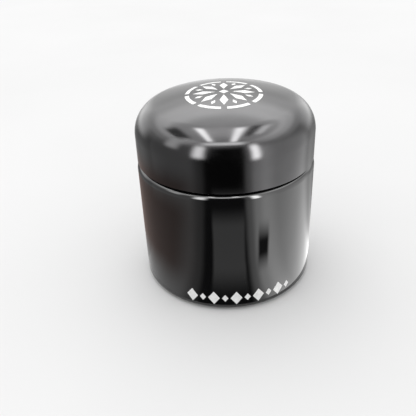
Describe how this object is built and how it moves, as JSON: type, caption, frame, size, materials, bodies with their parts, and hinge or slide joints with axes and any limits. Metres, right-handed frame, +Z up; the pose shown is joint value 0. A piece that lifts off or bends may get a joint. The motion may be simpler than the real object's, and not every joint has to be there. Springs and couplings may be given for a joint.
{
  "type": "jar grinder",
  "caption": "Round hand grinder with a domed lid whose toothed grinding head screws onto a black glass storage jar.",
  "frame": {"origin": "centre of the jar's underside, on the surface it stands on", "axes": "+Z up along the common axis of jar, grinding head and lid; the thread starts at +X"},
  "size_m": [0.064, 0.064, 0.0705],
  "materials": {
    "black_glass": "polished, opaque black",
    "anodised_lid": "black anodised, satin gloss",
    "anodised_inner": "black anodised, machined",
    "silicone": "matt moulded",
    "nylon": "natural white, smooth",
    "magnet_nickel": "nickel plated",
    "screw_steel": "plain steel"
  },
  "bodies": {
    "jar": {"glass_jar": "black_glass"},
    "gasket": {"jar_gasket": "silicone"},
    "grinder_base": {"jar_collar": "anodised_inner", "lid_seal_ring": "silicone", "lower_grinding_plate": "anodised_inner", "base_magnet": "magnet_nickel", "lower_plate_screw_1": "screw_steel", "lower_plate_screw_2": "screw_steel", "lower_plate_screw_3": "screw_steel", "lower_plate_screw_4": "screw_steel"},
    "lid_bearing": {"slip_ring": "nylon"},
    "lid": {"lid_shell": "anodised_lid", "upper_grinding_plate": "anodised_inner", "lid_magnet": "magnet_nickel", "upper_plate_screw_1": "screw_steel", "upper_plate_screw_2": "screw_steel", "upper_plate_screw_3": "screw_steel", "upper_plate_screw_4": "screw_steel"}
  },
  "joints": [
    {"name": "thread_rise", "type": "slide", "parent": "jar", "child": "gasket", "axis": [0, 0, 1], "range_m": [0, 0.0061]},
    {"name": "grinder_unscrew", "type": "hinge", "parent": "gasket", "child": "grinder_base", "pos_m": [0, 0, 0.05], "axis": [0, 0, 1], "range_deg": [0, 720]},
    {"name": "lid_lift", "type": "slide", "parent": "grinder_base", "child": "lid_bearing", "axis": [0, 0, 1], "range_m": [0, 0.03]},
    {"name": "lid_turn", "type": "hinge", "parent": "lid_bearing", "child": "lid", "pos_m": [0, 0, 0.06], "axis": [0, 0, 1], "continuous": true}
  ],
  "couplings": [
    {"joint": "thread_rise", "follows": "grinder_unscrew", "m_per_rad": 0.00047746}
  ]
}
